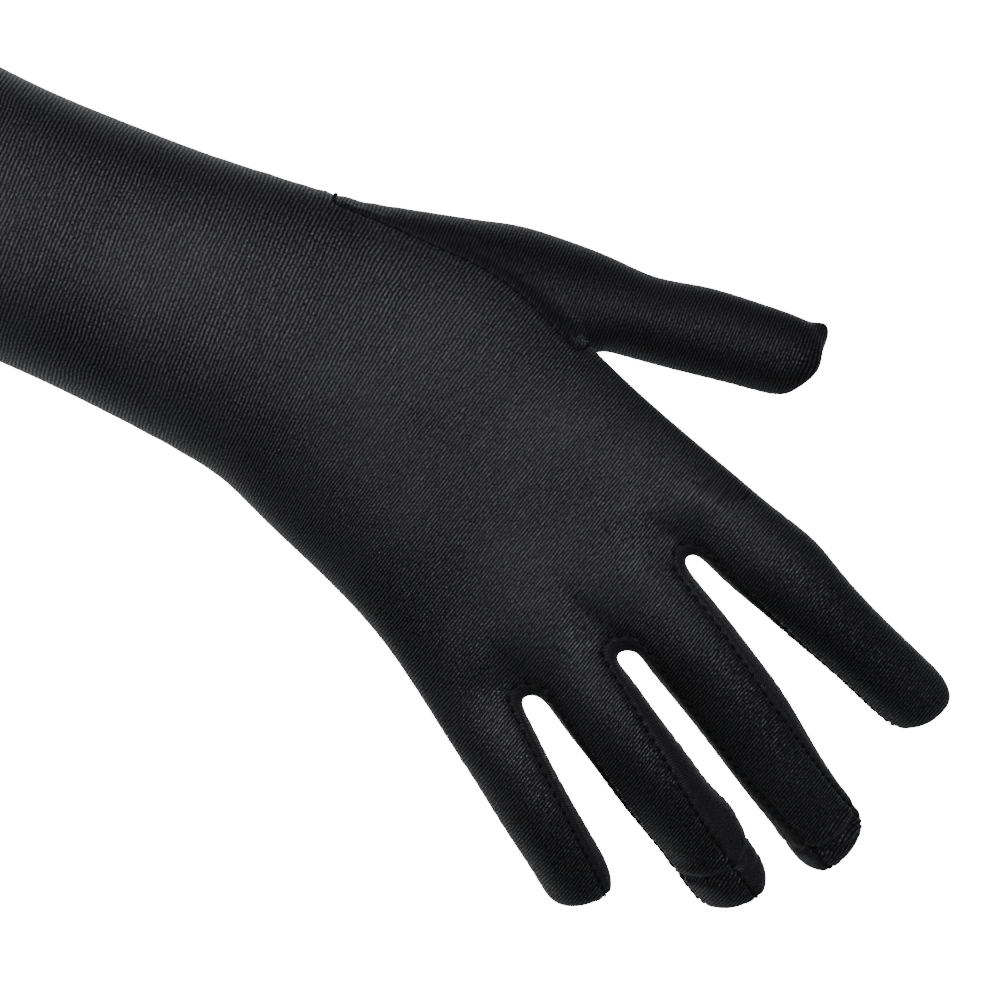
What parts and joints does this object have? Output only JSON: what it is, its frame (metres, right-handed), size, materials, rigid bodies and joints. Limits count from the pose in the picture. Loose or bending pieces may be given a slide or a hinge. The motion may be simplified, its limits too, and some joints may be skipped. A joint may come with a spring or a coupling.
{
  "type": "opera glove",
  "caption": "Long satin evening glove for a right hand, hollow and worn-shaped, with fingers, thumb, wrist and elbow that bend.",
  "frame": {"origin": "centre of the cuff opening, the open end that the arm goes into", "axes": "+X down the arm towards the fingertips, +Z towards the back of the hand, +Y towards the thumb; palm down"},
  "size_m": [0.5288, 0.1286, 0.084],
  "materials": {
    "satin": "black stretch satin, softly glossy",
    "fourchette_satin": "the same satin cut across its grain",
    "elastic": "matt woven elastic"
  },
  "bodies": {
    "upper_sleeve": {"trank_upper_sleeve": "satin", "cuff_hem": "satin", "cuff_elastic": "elastic"},
    "forearm": {"trank_forearm": "satin"},
    "hand": {"trank_hand": "satin", "trank_knuckles": "satin", "thumb_base": "satin", "web_index_middle": "fourchette_satin", "web_middle_ring": "fourchette_satin", "web_ring_little": "fourchette_satin"},
    "index_proximal": {"index_fourchette_middle_1": "fourchette_satin", "index_trank_1": "satin"},
    "index_middle": {"index_fourchette_middle_2": "fourchette_satin", "index_trank_2": "satin"},
    "index_distal": {"index_fourchette_middle_3": "fourchette_satin", "index_trank_3": "satin"},
    "middle_proximal": {"middle_back_1": "satin", "middle_fourchette_index_1": "fourchette_satin", "middle_fourchette_ring_1": "fourchette_satin", "middle_palm_1": "satin"},
    "middle_middle": {"middle_back_2": "satin", "middle_fourchette_index_2": "fourchette_satin", "middle_fourchette_ring_2": "fourchette_satin", "middle_palm_2": "satin"},
    "middle_distal": {"middle_back_3": "satin", "middle_fourchette_index_3": "fourchette_satin", "middle_fourchette_ring_3": "fourchette_satin", "middle_palm_3": "satin"},
    "ring_proximal": {"ring_back_1": "satin", "ring_fourchette_little_1": "fourchette_satin", "ring_fourchette_middle_1": "fourchette_satin", "ring_palm_1": "satin"},
    "ring_middle": {"ring_back_2": "satin", "ring_fourchette_little_2": "fourchette_satin", "ring_fourchette_middle_2": "fourchette_satin", "ring_palm_2": "satin"},
    "ring_distal": {"ring_back_3": "satin", "ring_fourchette_little_3": "fourchette_satin", "ring_fourchette_middle_3": "fourchette_satin", "ring_palm_3": "satin"},
    "little_proximal": {"little_fourchette_ring_1": "fourchette_satin", "little_trank_1": "satin"},
    "little_middle": {"little_fourchette_ring_2": "fourchette_satin", "little_trank_2": "satin"},
    "little_distal": {"little_fourchette_ring_3": "fourchette_satin", "little_trank_3": "satin"},
    "thumb_proximal": {"thumb_1": "satin"},
    "thumb_distal": {"thumb_2": "satin"}
  },
  "joints": [
    {"name": "elbow_flex", "type": "hinge", "parent": "upper_sleeve", "child": "forearm", "pos_m": [0.135, 0, 0], "axis": [0, -1, 0], "range_deg": [0, 90]},
    {"name": "wrist_flex", "type": "hinge", "parent": "forearm", "child": "hand", "pos_m": [0.359, 0, 0], "axis": [0, 1, 0], "range_deg": [-50, 50]},
    {"name": "index_knuckle", "type": "hinge", "parent": "hand", "child": "index_proximal", "pos_m": [0.48056, -0.00282, -0.00154], "axis": [0.3289, 0.9444, 0], "range_deg": [-15, 57]},
    {"name": "index_middle_bend", "type": "hinge", "parent": "index_proximal", "child": "index_middle", "pos_m": [0.49473, -0.00775, -0.00835], "axis": [0.3289, 0.9444, 0], "range_deg": [-18, 62]},
    {"name": "index_tip_bend", "type": "hinge", "parent": "index_middle", "child": "index_distal", "pos_m": [0.51041, -0.01321, -0.01946], "axis": [0.3289, 0.9444, 0], "range_deg": [-9, 31]},
    {"name": "middle_knuckle", "type": "hinge", "parent": "hand", "child": "middle_proximal", "pos_m": [0.47599, -0.02612, -0.00193], "axis": [0.5045, 0.8634, 0], "range_deg": [-15, 57]},
    {"name": "middle_middle_bend", "type": "hinge", "parent": "middle_proximal", "child": "middle_middle", "pos_m": [0.48964, -0.03409, -0.0094], "axis": [0.5045, 0.8634, 0], "range_deg": [-18, 62]},
    {"name": "middle_tip_bend", "type": "hinge", "parent": "middle_middle", "child": "middle_distal", "pos_m": [0.50464, -0.04286, -0.02117], "axis": [0.5045, 0.8634, 0], "range_deg": [-9, 31]},
    {"name": "ring_knuckle", "type": "hinge", "parent": "hand", "child": "ring_proximal", "pos_m": [0.46375, -0.04379, -0.00174], "axis": [0.5045, 0.8634, 0], "range_deg": [-15, 57]},
    {"name": "ring_middle_bend", "type": "hinge", "parent": "ring_proximal", "child": "ring_middle", "pos_m": [0.47671, -0.05136, -0.00855], "axis": [0.5045, 0.8634, 0], "range_deg": [-18, 62]},
    {"name": "ring_tip_bend", "type": "hinge", "parent": "ring_middle", "child": "ring_distal", "pos_m": [0.49105, -0.05974, -0.01966], "axis": [0.5045, 0.8634, 0], "range_deg": [-9, 31]},
    {"name": "little_knuckle", "type": "hinge", "parent": "hand", "child": "little_proximal", "pos_m": [0.44859, -0.05969, -0.00252], "axis": [0.599, 0.8007, 0], "range_deg": [-15, 57]},
    {"name": "little_middle_bend", "type": "hinge", "parent": "little_proximal", "child": "little_middle", "pos_m": [0.45763, -0.06646, -0.00785], "axis": [0.599, 0.8007, 0], "range_deg": [-18, 62]},
    {"name": "little_tip_bend", "type": "hinge", "parent": "little_middle", "child": "little_distal", "pos_m": [0.46655, -0.07313, -0.01545], "axis": [0.599, 0.8007, 0], "range_deg": [-9, 31]},
    {"name": "thumb_knuckle", "type": "hinge", "parent": "hand", "child": "thumb_proximal", "pos_m": [0.43672, 0.03217, -0.00921], "axis": [-0.2088, 0.7462, -0.6322], "range_deg": [-12, 27]},
    {"name": "thumb_tip_bend", "type": "hinge", "parent": "thumb_proximal", "child": "thumb_distal", "pos_m": [0.45604, 0.03454, -0.01381], "axis": [-0.2707, 0.7386, -0.6174], "range_deg": [-12, 38]}
  ],
  "couplings": [
    {"joint": "index_tip_bend", "follows": "index_middle_bend", "ratio": 0.5},
    {"joint": "middle_tip_bend", "follows": "middle_middle_bend", "ratio": 0.5},
    {"joint": "ring_tip_bend", "follows": "ring_middle_bend", "ratio": 0.5},
    {"joint": "little_tip_bend", "follows": "little_middle_bend", "ratio": 0.5}
  ]
}
